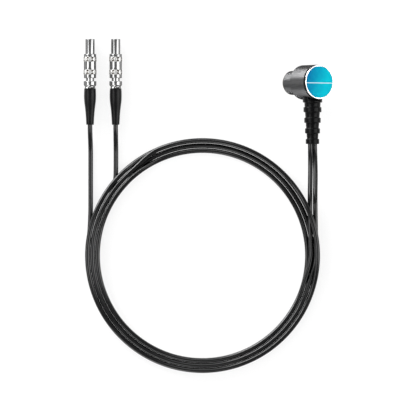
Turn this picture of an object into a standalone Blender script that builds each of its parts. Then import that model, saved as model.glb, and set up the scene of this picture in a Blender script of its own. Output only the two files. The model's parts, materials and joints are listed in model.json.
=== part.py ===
"""Ultrasonic thickness gauge probe with two coaxial leads in one round coil.

A turned metal head leans on its nose, with a label on its back and a ribbed strain relief on
its side. Two thin leads leave the strain relief, lie in a coil on the surface and end in two
push-pull coaxial plugs. Lengths are in metres and +Z is up. The origin is the middle of the
underside of the box round the head and its strain relief.
"""

import math

import bmesh
import bpy
from mathutils import Matrix, Vector

MM = 0.001

# Clearances
SEAT_GAP = 0.3 * MM
RUN_GAP = 0.15 * MM
LABEL_GAP = 0.2 * MM
MERGE_DISTANCE = 0.0005 * MM

# Facets round a turned piece
HEAD_FACETS = 48
RELIEF_FACETS = 32
PLUG_FACETS = 24
SMALL_FACETS = 16
GRIP_FACETS = 48
COIL_FACETS = 72
SMOOTH_ANGLE = math.radians(35.0)

# Head case, with lengths along its axis
HEAD_TILT = math.radians(34.0)
BODY_LENGTH = 14.0 * MM
CASE_RADIUS = 8.6 * MM
CASE_WALL = 1.2 * MM
CASE_EDGE = 0.4 * MM
NOSE_RADIUS = 6.0 * MM
NOSE_WALL = 0.9 * MM
NOSE_LENGTH = 9.8 * MM
NOSE_EDGE = 0.35 * MM
SHOULDER_THICKNESS = 1.4 * MM

# Back cap and label
CAP_INSET = 0.1 * MM
CAP_RIM_HEIGHT = 0.9 * MM
CAP_RIM_EDGE = 0.15 * MM
CAP_SPIGOT_LENGTH = 1.6 * MM
CAP_SPIGOT_WALL = 0.8 * MM
CAP_RIM_WALL = 0.45 * MM
CAP_FLOOR = 0.8 * MM
LABEL_THICKNESS = 0.35 * MM

# Two-element stack in the nose
BARRIER_THICKNESS = 0.6 * MM
ROOF_ANGLE = math.radians(4.0)
CRYSTAL_THICKNESS = 0.9 * MM
CRYSTAL_MARGIN = 0.5 * MM
BACKING_LENGTH = 3.8 * MM
BACKING_CLEARANCE = 0.4 * MM
BOND_GAP = 0.1 * MM

# Terminal board and its ring inductors
BOARD_CLEARANCE = 1.2 * MM
BOARD_THICKNESS = 0.8 * MM
BOARD_CUT_GAP = 0.6 * MM
COIL_CORE_RADIUS = 1.5 * MM
COIL_CORE_WIDTH = 1.0 * MM
COIL_CORE_HEIGHT = 1.5 * MM
COIL_CORE_EDGE = 0.3 * MM
COIL_CORE_SPACING = 5.8 * MM
COIL_CORE_OFFSET = 1.4 * MM

# Strain relief, with distances along its axis, measured outwards from the case
RELIEF_SETBACK = 6.1 * MM
RELIEF_REACH = 22.08 * MM
RELIEF_END_RADIUS = 2.62 * MM
RELIEF_TAPER = 0.07
COLLAR_LENGTH = 1.5 * MM
RIB_COUNT = 4
RIB_LENGTH = 2.5 * MM
RIB_START = 3.8 * MM
RIB_RISE = 0.66 * MM
RIB_EDGE = 0.3 * MM
NECK_RADIUS = 3.2 * MM
NECK_OVERLAP = 2.1 * MM
FLANGE_RADIUS = 4.4 * MM
FLANGE_THICKNESS = 1.2 * MM
FLANGE_INSET = 2.3 * MM

# Leads
LEAD_DIAMETER = 2.4 * MM
LEAD_SPACING = 2.7 * MM
LEAD_SIDES_RESOLUTION = 2

# Coil of both leads, lying on the surface
COIL_CENTRE = (-52.45 * MM, -75.13 * MM)
COIL_OUTER_RADIUS = 58.7 * MM
COIL_WIDTH = 7.45 * MM
COIL_HEIGHT = 4.9 * MM
COIL_EDGE = 1.0 * MM

# Plugs, with distances along the axis measured back from the tip
PLUG_TIP_Y = 32.95 * MM
PLUG_X = {"left": -108.6 * MM, "right": -95.8 * MM}
SHELL_RADIUS = 2.25 * MM
SHELL_WALL = 0.45 * MM
SHELL_EDGE = 0.2 * MM
SHELL_NECK_RADIUS = 1.98 * MM
SHELL_LENGTH = 22.4 * MM
SLEEVE_FRONT = 7.5 * MM
SLEEVE_LENGTH = 12.0 * MM
SLEEVE_RADIUS = 3.03 * MM
SLEEVE_EDGE = 0.3 * MM
SLEEVE_LIP = 0.6 * MM
SLEEVE_TRAVEL = 1.2 * MM
TRAVEL_SPARE = 0.35 * MM
GRIP_RADIUS = 3.27 * MM
GRIP_LENGTH = 2.3 * MM
GRIP_BARREL = 0.07 * MM
GRIP_FIRST = 1.45 * MM
GRIP_SECOND = 7.9 * MM
DIMPLE_COUNT = 8
DIMPLE_DEPTH = 0.32 * MM
DIMPLE_ROWS = (0.24, 0.76)
INSULATOR_RECESS = 1.6 * MM
INSULATOR_LENGTH = 14.0 * MM
PIN_RADIUS = 0.45 * MM
PIN_RECESS = 0.8 * MM
PIN_LENGTH = 15.6 * MM
NUT_RADIUS = 3.12 * MM
NUT_LENGTH = 3.45 * MM
NUT_EDGE = 0.2 * MM
NUT_GROOVE_RADIUS = 2.5 * MM
NUT_GROOVE_LENGTH = 0.3 * MM
NUT_FLARE_RADIUS = 2.65 * MM
NUT_FLARE_LENGTH = 0.55 * MM
NUT_WALL = 0.55 * MM
COLLET_LENGTH = 1.5 * MM
COLLET_WALL = 0.6 * MM
COLLET_SLIT = 0.4 * MM
BOOT_GAP = 0.1 * MM
BOOT_LENGTH = 18.2 * MM
BOOT_FRONT_RADIUS = 2.88 * MM
BOOT_RADIUS = 3.03 * MM
BOOT_SHOULDER_RADIUS = 2.93 * MM
BOOT_WAIST_RADIUS = 2.3 * MM
BOOT_END_RADIUS = 1.88 * MM
BOOT_BULGE = 3.6 * MM
BOOT_SHOULDER = 6.3 * MM
BOOT_WAIST = 11.2 * MM
BOOT_EDGE = 0.2 * MM
PLUG_FLOOR_GAP = 0.03 * MM

# Worked-out places on the head, with heights along its axis from the nose face
HEAD_LENGTH = NOSE_LENGTH + BODY_LENGTH
CASE_LENGTH = HEAD_LENGTH - CAP_RIM_HEIGHT - SEAT_GAP
CASE_BORE = CASE_RADIUS - CASE_WALL
NOSE_BORE = NOSE_RADIUS - NOSE_WALL
CAP_RADIUS = CASE_RADIUS - CAP_INSET
RECESS_RADIUS = CAP_RADIUS - CAP_RIM_WALL
LABEL_RADIUS = RECESS_RADIUS - LABEL_GAP
RELIEF_HEIGHT = HEAD_LENGTH - RELIEF_SETBACK
RELIEF_LENGTH = CASE_RADIUS + RELIEF_REACH
STACK_RADIUS = NOSE_BORE - SEAT_GAP
HALF_OFFSET = BARRIER_THICKNESS / 2 + BOND_GAP
BACKING_TOP = RELIEF_HEIGHT - FLANGE_RADIUS - BACKING_CLEARANCE
BACKING_FLOOR = BACKING_TOP - BACKING_LENGTH
CRYSTAL_FLOOR = BACKING_FLOOR - BOND_GAP - CRYSTAL_THICKNESS
DELAY_LENGTH = CRYSTAL_FLOOR - BOND_GAP
BOARD_RADIUS = CASE_BORE - BOARD_CLEARANCE
BOARD_FLOOR = BACKING_TOP + SEAT_GAP
RELIEF_SADDLE = CASE_RADIUS + SEAT_GAP
FLANGE_OUTER_FACE = CASE_BORE - FLANGE_INSET
FLANGE_INNER_FACE = FLANGE_OUTER_FACE - FLANGE_THICKNESS
BOARD_CUT = FLANGE_INNER_FACE - BOARD_CUT_GAP

# Worked-out places on a plug
SLEEVE_BACK = SLEEVE_FRONT + SLEEVE_LENGTH
NUT_FRONT = SLEEVE_BACK + SLEEVE_TRAVEL + TRAVEL_SPARE
NUT_BACK = NUT_FRONT + NUT_LENGTH
BOOT_FRONT = NUT_BACK + BOOT_GAP
BOOT_BACK = BOOT_FRONT + BOOT_LENGTH
PLUG_HEIGHT = GRIP_RADIUS + PLUG_FLOOR_GAP

# Routes of the leads: places for one smooth curve each. A place gives a distance from the exit,
# a share of the way down and, at the head, a share of the way that the two leads spread.
HEAD_LEAD_ROUTE = (
    (0.0 * MM, 0.0, 0.0),
    (2.5 * MM, 0.0, 0.1),
    (7.0 * MM, 0.07, 0.4),
    (12.5 * MM, 0.28, 0.8),
    (18.0 * MM, 0.58, 1.0),
    (23.0 * MM, 0.85, 1.0),
    (26.5 * MM, 0.96, 1.0),
)
HEAD_LEAD_ENTRY = {"left": (1.22 * MM, 3.9 * MM), "right": (3.82 * MM, 3.15 * MM)}
PLUG_LEAD_ROUTE = (
    (0.0 * MM, 0.0, 0.0),
    (2.0 * MM, 0.0, 0.0),
    (5.0 * MM, 0.2, 0.0),
    (8.5 * MM, 0.6, 0.0),
    (12.0 * MM, 0.92, 0.0),
    (15.0 * MM, 1.0, 0.0),
    (18.0 * MM, 1.0, 0.0),
)
LEAD_FLOOR_GAP = 0.05 * MM
LEAD_POINT_SPACING = 4.8 * MM
ROUTE_SAMPLES = 24

# How far a cutter runs past what it cuts
CUTTER_SPARE = 4.0 * MM


def clear_scene() -> None:
    """Remove the objects that the scene holds."""
    for item in list(bpy.data.objects):
        bpy.data.objects.remove(item, do_unlink=True)


def make_material(name: str, colour: tuple, metallic: float, roughness: float):
    """Return a Principled material of one colour."""
    material = bpy.data.materials.new(name)
    material.use_nodes = True
    shader = material.node_tree.nodes["Principled BSDF"]
    shader.inputs["Base Color"].default_value = (*colour, 1.0)
    shader.inputs["Metallic"].default_value = metallic
    shader.inputs["Roughness"].default_value = roughness
    return material


def add_object(name: str, shape: bmesh.types.BMesh, look: tuple, parent=None):
    """Turn a finished shape into an object with its own material."""
    bmesh.ops.remove_doubles(shape, verts=shape.verts, dist=MERGE_DISTANCE)
    bmesh.ops.recalc_face_normals(shape, faces=shape.faces)
    mesh = bpy.data.meshes.new(name)
    shape.to_mesh(mesh)
    shape.free()
    mesh.shade_smooth()
    mesh.set_sharp_from_angle(angle=SMOOTH_ANGLE)
    piece = bpy.data.objects.new(name, mesh)
    bpy.context.scene.collection.objects.link(piece)
    piece.parent = parent
    if look:
        mesh.materials.append(make_material(name, *look))
    return piece


def add_frame(name: str, place: tuple, turn: Matrix):
    """Add an empty that carries the pieces of one sub-assembly."""
    frame = bpy.data.objects.new(name, None)
    bpy.context.scene.collection.objects.link(frame)
    frame.matrix_world = Matrix.Translation(place) @ turn
    return frame


def as_cutter(piece):
    """Mark an object as a tool that shapes another piece."""
    piece.hide_render = True
    piece.display_type = "WIRE"
    return piece


def combine(piece, tool, operation: str) -> None:
    """Cut a tool from a piece, or join it on."""
    step = piece.modifiers.new(operation.title(), "BOOLEAN")
    step.operation = operation
    step.solver = "EXACT"
    step.object = tool


def turned(name: str, outline: list, look: tuple, parent=None, bored=False, facets=PLUG_FACETS):
    """Spin an outline of radius and height round local Z.

    A bored outline closes on itself. Any other one starts and ends on the axis.
    """
    shape = bmesh.new()
    points = [shape.verts.new((radius, 0.0, height)) for radius, height in outline]
    pairs = list(zip(points, points[1:]))
    if bored:
        pairs.append((points[-1], points[0]))
    edges = [shape.edges.new(pair) for pair in pairs]
    bmesh.ops.spin(
        shape,
        geom=points + edges,
        axis=(0.0, 0.0, 1.0),
        cent=(0.0, 0.0, 0.0),
        steps=facets,
        angle=2 * math.pi,
        use_merge=True,
    )
    return add_object(name, shape, look, parent)


def case_outline() -> list:
    """Return the section of the case, up its outside and down its bore."""
    return [
        (NOSE_BORE, 0.0),
        (NOSE_RADIUS - NOSE_EDGE, 0.0),
        (NOSE_RADIUS, NOSE_EDGE),
        (NOSE_RADIUS, NOSE_LENGTH),
        (CASE_RADIUS - CASE_EDGE, NOSE_LENGTH),
        (CASE_RADIUS, NOSE_LENGTH + CASE_EDGE),
        (CASE_RADIUS, CASE_LENGTH - CASE_EDGE),
        (CASE_RADIUS - CASE_EDGE, CASE_LENGTH),
        (CASE_BORE, CASE_LENGTH),
        (CASE_BORE, NOSE_LENGTH + SHOULDER_THICKNESS),
        (NOSE_BORE, NOSE_LENGTH + SHOULDER_THICKNESS),
    ]


def cap_outline() -> list:
    """Return the section of the back cap, from the middle of its floor outwards."""
    recess_floor = HEAD_LENGTH - LABEL_THICKNESS - LABEL_GAP
    rim_base = HEAD_LENGTH - CAP_RIM_HEIGHT
    spigot_radius = CASE_BORE - SEAT_GAP
    spigot_end = rim_base - CAP_SPIGOT_LENGTH
    spigot_bore = spigot_radius - CAP_SPIGOT_WALL
    return [
        (0.0, recess_floor - CAP_FLOOR),
        (spigot_bore, recess_floor - CAP_FLOOR),
        (spigot_bore, spigot_end),
        (spigot_radius, spigot_end),
        (spigot_radius, rim_base),
        (CAP_RADIUS, rim_base),
        (CAP_RADIUS, HEAD_LENGTH - CAP_RIM_EDGE),
        (CAP_RADIUS - CAP_RIM_EDGE, HEAD_LENGTH),
        (RECESS_RADIUS, HEAD_LENGTH),
        (RECESS_RADIUS, recess_floor),
        (0.0, recess_floor),
    ]


def head_reach(direction_radius: float, direction_height: float) -> float:
    """Return how far the turned head reaches along a direction in its lean plane."""
    points = case_outline() + cap_outline()
    return max(radius * direction_radius + height * direction_height for radius, height in points)


def head_frame():
    """Place the head so that the box round it and its strain relief stands over the origin."""
    sine = math.sin(HEAD_TILT)
    cosine = math.cos(HEAD_TILT)
    right = head_reach(cosine, sine)
    left = -head_reach(cosine, -sine)
    below = -head_reach(sine, -cosine)
    place = (-(left + right) / 2, (RELIEF_LENGTH - CASE_RADIUS) / 2, -below)
    return add_frame("head_frame", place, Matrix.Rotation(HEAD_TILT, 4, "Y"))


def relief_axis() -> Matrix:
    """Return the strain relief's own frame on the head, with local Z along its axis."""
    return Matrix.Translation((0.0, 0.0, RELIEF_HEIGHT)) @ Matrix.Rotation(math.pi / 2, 4, "X")


def build_case(frame) -> None:
    """Turn the case and drill its cable hole."""
    steel = ((0.3, 0.3, 0.3), 1.0, 0.38)
    case = turned("head_case", case_outline(), steel, frame, True, HEAD_FACETS)
    drill_radius = NECK_RADIUS + SEAT_GAP
    drill_end = CASE_RADIUS + CUTTER_SPARE
    drill_outline = [
        (0.0, 0.0),
        (drill_radius, 0.0),
        (drill_radius, drill_end),
        (0.0, drill_end),
    ]
    drill = turned("cable_hole_drill", drill_outline, (), frame, facets=RELIEF_FACETS)
    drill.matrix_local = relief_axis()
    combine(case, as_cutter(drill), "DIFFERENCE")


def build_cap_and_label(frame) -> None:
    """Turn the back cap and lay the label in its recess."""
    turned("back_cap", cap_outline(), ((0.85, 0.85, 0.85), 1.0, 0.2), frame, facets=HEAD_FACETS)
    label_floor = HEAD_LENGTH - LABEL_THICKNESS
    label_outline = [
        (0.0, label_floor),
        (LABEL_RADIUS, label_floor),
        (LABEL_RADIUS, HEAD_LENGTH),
        (0.0, HEAD_LENGTH),
    ]
    turned("label_disc", label_outline, ((0.0, 0.52, 0.62), 0.0, 0.3), frame, facets=HEAD_FACETS)


def roof_drop(across: float) -> float:
    """Return how far the sloping roof of a delay block has dropped at a distance from the middle."""
    return across * math.tan(ROOF_ANGLE)


def half_block(name: str, look: tuple, frame, side: int, radius: float, floor, top) -> None:
    """Build one half-round block beside the barrier.

    Floor and top give the height of its two ends at a distance from the middle.
    """
    shape = bmesh.new()
    start = math.asin(HALF_OFFSET / radius)
    steps = SMALL_FACETS
    rings = ([], [])
    for step in range(steps + 1):
        angle = start + (math.pi - 2 * start) * step / steps
        along = radius * math.cos(angle)
        across = radius * math.sin(angle)
        for ring, end in zip(rings, (floor, top)):
            ring.append(shape.verts.new((along, side * across, end(across))))
    for ring in rings:
        shape.faces.new(ring)
    count = steps + 1
    for step in range(count):
        following = (step + 1) % count
        shape.faces.new((rings[0][step], rings[0][following], rings[1][following], rings[1][step]))
    add_object(name, shape, look, frame)


def build_element(frame, role: str, side: int) -> None:
    """Stack the delay block, crystal and backing of one element."""
    half_block(
        f"{role}_delay_block",
        ((0.75, 0.6, 0.32), 0.0, 0.25),
        frame,
        side,
        STACK_RADIUS,
        lambda across: 0.0,
        lambda across: DELAY_LENGTH - roof_drop(across),
    )
    half_block(
        f"{role}_crystal",
        ((0.62, 0.55, 0.4), 0.2, 0.4),
        frame,
        side,
        STACK_RADIUS - CRYSTAL_MARGIN,
        lambda across: CRYSTAL_FLOOR - roof_drop(across),
        lambda across: CRYSTAL_FLOOR + CRYSTAL_THICKNESS - roof_drop(across),
    )
    half_block(
        f"{role}_backing",
        ((0.06, 0.06, 0.07), 0.0, 0.8),
        frame,
        side,
        STACK_RADIUS,
        lambda across: BACKING_FLOOR - roof_drop(across),
        lambda across: BACKING_TOP,
    )


def build_barrier(frame) -> None:
    """Stand the cork sheet between the two elements."""
    half_width = math.sqrt(STACK_RADIUS**2 - (BARRIER_THICKNESS / 2) ** 2)
    shape = bmesh.new()
    bmesh.ops.create_cube(shape, size=1.0)
    bmesh.ops.scale(shape, vec=(2 * half_width, BARRIER_THICKNESS, BACKING_TOP), verts=shape.verts)
    bmesh.ops.translate(shape, vec=(0.0, 0.0, BACKING_TOP / 2), verts=shape.verts)
    add_object("acoustic_barrier", shape, ((0.45, 0.28, 0.15), 0.0, 0.9), frame)


def build_board(frame) -> None:
    """Lay the terminal board on the backings, with one side cut flat for the cable flange."""
    start = math.asin(BOARD_CUT / BOARD_RADIUS)
    shape = bmesh.new()
    outline = []
    for step in range(HEAD_FACETS + 1):
        angle = -start + (math.pi + 2 * start) * step / HEAD_FACETS
        outline.append(
            shape.verts.new((BOARD_RADIUS * math.cos(angle), BOARD_RADIUS * math.sin(angle), BOARD_FLOOR))
        )
    face = shape.faces.new(outline)
    lifted = bmesh.ops.extrude_face_region(shape, geom=[face])
    corners = [item for item in lifted["geom"] if isinstance(item, bmesh.types.BMVert)]
    bmesh.ops.translate(shape, vec=(0.0, 0.0, BOARD_THICKNESS), verts=corners)
    add_object("terminal_board", shape, ((0.02, 0.16, 0.07), 0.0, 0.4), frame)


def build_tuning_coil(frame, role: str, side: int) -> None:
    """Lay one ring inductor on the terminal board."""
    floor = BOARD_FLOOR + BOARD_THICKNESS + SEAT_GAP
    inner = COIL_CORE_RADIUS - COIL_CORE_WIDTH / 2
    outer = COIL_CORE_RADIUS + COIL_CORE_WIDTH / 2
    top = floor + COIL_CORE_HEIGHT
    outline = [
        (inner + COIL_CORE_EDGE, floor),
        (outer - COIL_CORE_EDGE, floor),
        (outer, floor + COIL_CORE_EDGE),
        (outer, top - COIL_CORE_EDGE),
        (outer - COIL_CORE_EDGE, top),
        (inner + COIL_CORE_EDGE, top),
        (inner, top - COIL_CORE_EDGE),
        (inner, floor + COIL_CORE_EDGE),
    ]
    name = f"{role}_tuning_coil"
    ring = turned(name, outline, ((0.5, 0.22, 0.08), 0.8, 0.4), frame, True, SMALL_FACETS)
    ring.location = (side * COIL_CORE_SPACING / 2, COIL_CORE_OFFSET, 0.0)


def relief_core(distance: float) -> float:
    """Return the radius of the strain relief between its ribs."""
    return RELIEF_END_RADIUS + (RELIEF_LENGTH - distance) * RELIEF_TAPER


def relief_outline() -> list:
    """Return the ribbed outside of the strain relief, from inside the case to its end."""
    root = CASE_BORE
    collar_end = CASE_RADIUS + COLLAR_LENGTH
    collar = relief_core(CASE_RADIUS) + RIB_RISE
    outline = [
        (0.0, root),
        (collar, root),
        (collar, collar_end - RIB_EDGE),
        (collar - RIB_EDGE, collar_end),
        (relief_core(collar_end), collar_end),
    ]
    first_front = CASE_RADIUS + RIB_START
    last_front = RELIEF_LENGTH - RIB_LENGTH
    for rib in range(RIB_COUNT):
        front = first_front + (last_front - first_front) * rib / (RIB_COUNT - 1)
        back = front + RIB_LENGTH
        crown = relief_core((front + back) / 2) + RIB_RISE
        outline += [
            (relief_core(front), front),
            (crown - RIB_EDGE, front),
            (crown, front + RIB_EDGE),
            (crown, back - RIB_EDGE),
            (crown - RIB_EDGE, back),
        ]
        if rib < RIB_COUNT - 1:
            outline.append((relief_core(back), back))
    outline.append((0.0, RELIEF_LENGTH))
    return outline


def build_relief(frame) -> None:
    """Mould the strain relief: ribbed outside, saddle seat, neck and inner flange."""
    look = ((0.006, 0.006, 0.0065), 0.0, 0.45)
    relief = turned("strain_relief", relief_outline(), look, frame, facets=RELIEF_FACETS)
    relief.matrix_local = relief_axis()
    seat_top = HEAD_LENGTH + CUTTER_SPARE
    seat_outline = [
        (0.0, 0.0),
        (RELIEF_SADDLE, 0.0),
        (RELIEF_SADDLE, seat_top),
        (0.0, seat_top),
    ]
    seat = turned("saddle_cutter", seat_outline, (), frame, facets=HEAD_FACETS)
    combine(relief, as_cutter(seat), "DIFFERENCE")
    neck_end = RELIEF_SADDLE + NECK_OVERLAP
    flange_outline = [
        (0.0, FLANGE_INNER_FACE),
        (FLANGE_RADIUS, FLANGE_INNER_FACE),
        (FLANGE_RADIUS, FLANGE_OUTER_FACE),
        (NECK_RADIUS, FLANGE_OUTER_FACE),
        (NECK_RADIUS, neck_end),
        (0.0, neck_end),
    ]
    flange = turned("relief_flange", flange_outline, (), frame, facets=RELIEF_FACETS)
    flange.matrix_local = relief_axis()
    combine(relief, as_cutter(flange), "UNION")


def shell_outline() -> list:
    """Return the section of a plug's inner shell, as heights below the tip."""
    shoulder = SLEEVE_BACK - SLEEVE_LIP - RUN_GAP
    bore = SHELL_RADIUS - SHELL_WALL
    neck_bore = SHELL_NECK_RADIUS - SHELL_WALL
    bore_end = INSULATOR_RECESS + INSULATOR_LENGTH + SEAT_GAP
    return [
        (bore, 0.0),
        (bore, -bore_end),
        (neck_bore, -bore_end),
        (neck_bore, -SHELL_LENGTH),
        (SHELL_NECK_RADIUS, -SHELL_LENGTH),
        (SHELL_NECK_RADIUS, -shoulder),
        (SHELL_RADIUS, -shoulder),
        (SHELL_RADIUS, -SHELL_EDGE),
        (SHELL_RADIUS - SHELL_EDGE, 0.0),
    ]


def grip_stations(start: float) -> list:
    """Return the stations of one grip band, each a distance, a radius and a dimple depth."""
    stations = [(start, SLEEVE_RADIUS, 0.0), (start, GRIP_RADIUS - GRIP_BARREL, 0.0)]
    first_row, second_row = DIMPLE_ROWS
    middle_share = (first_row + second_row) / 2
    for share, depth in ((first_row, 1.0), (middle_share, 0.0), (second_row, 1.0)):
        swell = 1.0 - (2 * share - 1.0) ** 2
        radius = GRIP_RADIUS - GRIP_BARREL * (1.0 - swell)
        stations.append((start + GRIP_LENGTH * share, radius, DIMPLE_DEPTH * depth))
    end = start + GRIP_LENGTH
    return stations + [(end, GRIP_RADIUS - GRIP_BARREL, 0.0), (end, SLEEVE_RADIUS, 0.0)]


def sleeve_stations() -> list:
    """Return every station round the section of a release sleeve, outside first."""
    back_bore = SHELL_NECK_RADIUS + RUN_GAP
    bore = SHELL_RADIUS + RUN_GAP
    lip_front = SLEEVE_BACK - SLEEVE_LIP
    outside = [
        (SLEEVE_FRONT, SLEEVE_RADIUS - SLEEVE_EDGE, 0.0),
        (SLEEVE_FRONT + SLEEVE_EDGE, SLEEVE_RADIUS, 0.0),
    ]
    outside += grip_stations(SLEEVE_FRONT + GRIP_FIRST)
    outside += grip_stations(SLEEVE_FRONT + GRIP_SECOND)
    outside += [
        (SLEEVE_BACK - SLEEVE_EDGE, SLEEVE_RADIUS, 0.0),
        (SLEEVE_BACK, SLEEVE_RADIUS - SLEEVE_EDGE, 0.0),
    ]
    inside = [
        (SLEEVE_BACK, back_bore, 0.0),
        (lip_front, back_bore, 0.0),
        (lip_front, bore, 0.0),
        (SLEEVE_FRONT, bore, 0.0),
    ]
    return outside + inside


def dimple_share(angle: float) -> float:
    """Return how deep a dimple is at an angle, from 0 on a land to 1 at its middle."""
    return max(0.0, -math.cos(DIMPLE_COUNT * angle))


def build_sleeve(frame, name: str, facets: int) -> None:
    """Loft the release sleeve through rings whose radius dips at each dimple."""
    shape = bmesh.new()
    rings = []
    for distance, radius, depth in sleeve_stations():
        ring = []
        for step in range(facets):
            angle = 2 * math.pi * step / facets
            reach = radius - depth * dimple_share(angle)
            ring.append(shape.verts.new((reach * math.cos(angle), reach * math.sin(angle), -distance)))
        rings.append(ring)
    for ring, other in zip(rings, rings[1:] + rings[:1]):
        for step in range(facets):
            following = (step + 1) % facets
            shape.faces.new((ring[step], ring[following], other[following], other[step]))
    add_object(name, shape, ((0.4, 0.4, 0.4), 1.0, 0.18), frame)


def nut_outline() -> list:
    """Return the section of a collet nut, as heights below the tip."""
    groove_back = NUT_BACK - NUT_FLARE_LENGTH
    groove_front = groove_back - NUT_GROOVE_LENGTH
    taper = NUT_RADIUS - NUT_GROOVE_RADIUS
    front_bore = SHELL_NECK_RADIUS + SEAT_GAP
    back_bore = NUT_GROOVE_RADIUS - NUT_WALL
    step = SHELL_LENGTH + SEAT_GAP
    return [
        (front_bore, -NUT_FRONT),
        (front_bore, -step),
        (back_bore, -step),
        (back_bore, -NUT_BACK),
        (NUT_FLARE_RADIUS, -NUT_BACK),
        (NUT_GROOVE_RADIUS, -groove_back),
        (NUT_GROOVE_RADIUS, -groove_front),
        (NUT_RADIUS, -(groove_front - taper)),
        (NUT_RADIUS, -(NUT_FRONT + NUT_EDGE)),
        (NUT_RADIUS - NUT_EDGE, -NUT_FRONT),
    ]


def build_collet(frame, name: str) -> None:
    """Turn the collet and slit it along its length."""
    outer = NUT_GROOVE_RADIUS - NUT_WALL - SEAT_GAP
    inner = outer - COLLET_WALL
    back = NUT_BACK - SEAT_GAP
    front = back - COLLET_LENGTH
    outline = [(inner, -front), (inner, -back), (outer, -back), (outer, -front)]
    collet = turned(name, outline, ((0.55, 0.45, 0.25), 1.0, 0.3), frame, True, SMALL_FACETS)
    shape = bmesh.new()
    bmesh.ops.create_cube(shape, size=1.0)
    bmesh.ops.scale(shape, vec=(outer * 2, COLLET_SLIT, COLLET_LENGTH * 2), verts=shape.verts)
    bmesh.ops.translate(shape, vec=(outer, 0.0, -(front + back) / 2), verts=shape.verts)
    slit = add_object(f"{name}_slit", shape, (), frame)
    combine(collet, as_cutter(slit), "DIFFERENCE")


def boot_outline() -> list:
    """Return the section of a boot: full at the front, waisted, slender at the end."""
    front = BOOT_FRONT
    middle_radius = (BOOT_SHOULDER_RADIUS + BOOT_WAIST_RADIUS) / 2
    middle = (BOOT_SHOULDER + BOOT_WAIST) / 2
    return [
        (0.0, -front),
        (BOOT_FRONT_RADIUS - BOOT_EDGE, -front),
        (BOOT_FRONT_RADIUS, -(front + BOOT_EDGE)),
        (BOOT_RADIUS, -(front + BOOT_BULGE)),
        (BOOT_SHOULDER_RADIUS, -(front + BOOT_SHOULDER)),
        (middle_radius, -(front + middle)),
        (BOOT_WAIST_RADIUS, -(front + BOOT_WAIST)),
        (BOOT_END_RADIUS, -(BOOT_BACK - BOOT_EDGE)),
        (BOOT_END_RADIUS - BOOT_EDGE, -BOOT_BACK),
        (0.0, -BOOT_BACK),
    ]


def build_plug(side: str, across: float) -> None:
    """Build one plug, lying with its tip towards +Y."""
    place = (across, PLUG_TIP_Y, PLUG_HEIGHT)
    frame = add_frame(f"{side}_plug_frame", place, Matrix.Rotation(-math.pi / 2, 4, "X"))
    nickel = ((0.4, 0.4, 0.4), 1.0, 0.18)
    turned(f"{side}_plug_shell", shell_outline(), nickel, frame, True)
    build_sleeve(frame, f"{side}_release_sleeve", GRIP_FACETS)
    insulator_radius = SHELL_RADIUS - SHELL_WALL - SEAT_GAP
    insulator_end = INSULATOR_RECESS + INSULATOR_LENGTH
    pin_bore = PIN_RADIUS + RUN_GAP
    insulator_outline = [
        (pin_bore, -INSULATOR_RECESS),
        (pin_bore, -insulator_end),
        (insulator_radius, -insulator_end),
        (insulator_radius, -INSULATOR_RECESS),
    ]
    white_plastic = ((0.8, 0.79, 0.75), 0.0, 0.45)
    turned(f"{side}_plug_insulator", insulator_outline, white_plastic, frame, True, SMALL_FACETS)
    pin_end = PIN_RECESS + PIN_LENGTH
    pin_outline = [
        (0.0, -PIN_RECESS),
        (PIN_RADIUS / 2, -PIN_RECESS),
        (PIN_RADIUS, -(PIN_RECESS + PIN_RADIUS / 2)),
        (PIN_RADIUS, -pin_end),
        (0.0, -pin_end),
    ]
    turned(f"{side}_contact_pin", pin_outline, ((0.8, 0.6, 0.25), 1.0, 0.25), frame, facets=SMALL_FACETS)
    build_collet(frame, f"{side}_cable_collet")
    turned(f"{side}_collet_nut", nut_outline(), nickel, frame, True)
    rubber = ((0.006, 0.006, 0.0065), 0.0, 0.42)
    turned(f"{side}_bend_relief_boot", boot_outline(), rubber, frame)


def smooth_route(places: list, spacing: float) -> list:
    """Return points at even spacing along one smooth curve through the places.

    The curve is a Catmull-Rom spline, sampled finely and then walked at the spacing.
    """
    padded = [places[0] * 2 - places[1]] + places + [places[-1] * 2 - places[-2]]
    fine = []
    for index in range(1, len(padded) - 2):
        before, start, end, after = padded[index - 1 : index + 3]
        for step in range(ROUTE_SAMPLES):
            share = step / ROUTE_SAMPLES
            fine.append(
                0.5
                * (
                    2 * start
                    + (end - before) * share
                    + (2 * before - 5 * start + 4 * end - after) * share**2
                    + (3 * start - before - 3 * end + after) * share**3
                )
            )
    fine.append(places[-1])
    lengths = [0.0]
    for first, second in zip(fine, fine[1:]):
        lengths.append(lengths[-1] + (second - first).length)
    count = max(3, round(lengths[-1] / spacing))
    walked = []
    cursor = 0
    for step in range(count + 1):
        target = lengths[-1] * step / count
        while cursor < len(lengths) - 2 and lengths[cursor + 1] < target:
            cursor += 1
        span = lengths[cursor + 1] - lengths[cursor]
        share = (target - lengths[cursor]) / span
        walked.append(fine[cursor].lerp(fine[cursor + 1], min(1.0, share)))
    return walked


def build_tube(name: str, points: list) -> None:
    """Lay a lead's plain round tube along its points."""
    curve = bpy.data.curves.new(name, "CURVE")
    curve.dimensions = "3D"
    curve.bevel_depth = LEAD_DIAMETER / 2
    curve.bevel_resolution = LEAD_SIDES_RESOLUTION
    curve.use_fill_caps = True
    spline = curve.splines.new("POLY")
    spline.points.add(len(points) - 1)
    for target, point in zip(spline.points, points):
        target.co = (*point, 1.0)
    curve.materials.append(make_material(name, (0.006, 0.006, 0.0065), 0.0, 0.4))
    tube = bpy.data.objects.new(name, curve)
    bpy.context.scene.collection.objects.link(tube)


def coil_wall_y(across: float) -> float:
    """Return the Y at which a lead of one X meets the coil's outer wall with its nearer edge."""
    edge = abs(across - COIL_CENTRE[0]) - LEAD_DIAMETER / 2
    return COIL_CENTRE[1] + math.sqrt(COIL_OUTER_RADIUS**2 - edge**2)


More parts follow.
